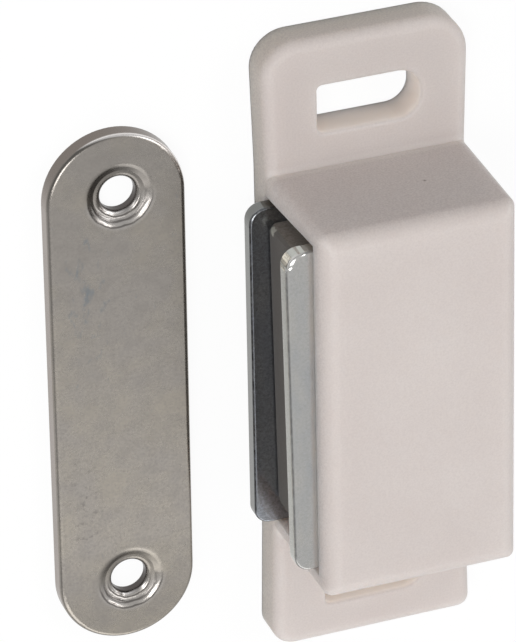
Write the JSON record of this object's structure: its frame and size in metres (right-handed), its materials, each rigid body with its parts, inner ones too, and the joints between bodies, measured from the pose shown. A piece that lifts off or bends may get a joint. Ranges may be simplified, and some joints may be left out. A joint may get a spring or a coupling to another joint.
{
  "type": "magnetic catch",
  "caption": "Surface-mounted magnetic cupboard catch in off-white plastic, with a loose magnet pack between steel pole plates, and its flat steel strike plate beside it.",
  "frame": {"origin": "middle of the catch's mounting face, which is screwed to the cabinet", "axes": "+Z out of the mounting surface, Y along the catch, -X the open side where the pole plates meet the strike plate"},
  "size_m": [0.0355, 0.056, 0.0146],
  "materials": {
    "housing_plastic": "satin moulded, off-white",
    "pole_steel": "zinc plated, bluish",
    "ferrite": "dark sintered ferrite",
    "strike_steel": "satin plated, a little tarnished"
  },
  "bodies": {
    "housing": {"housing": "housing_plastic", "strike_plate": "strike_steel"},
    "magnet_pack": {"lower_pole_plate": "pole_steel", "upper_pole_plate": "pole_steel", "magnet": "ferrite"}
  },
  "joints": [
    {"name": "pack_float", "type": "slide", "parent": "housing", "child": "magnet_pack", "axis": [1, 0, 0], "range_m": [-0.0005, 0.0005]}
  ]
}
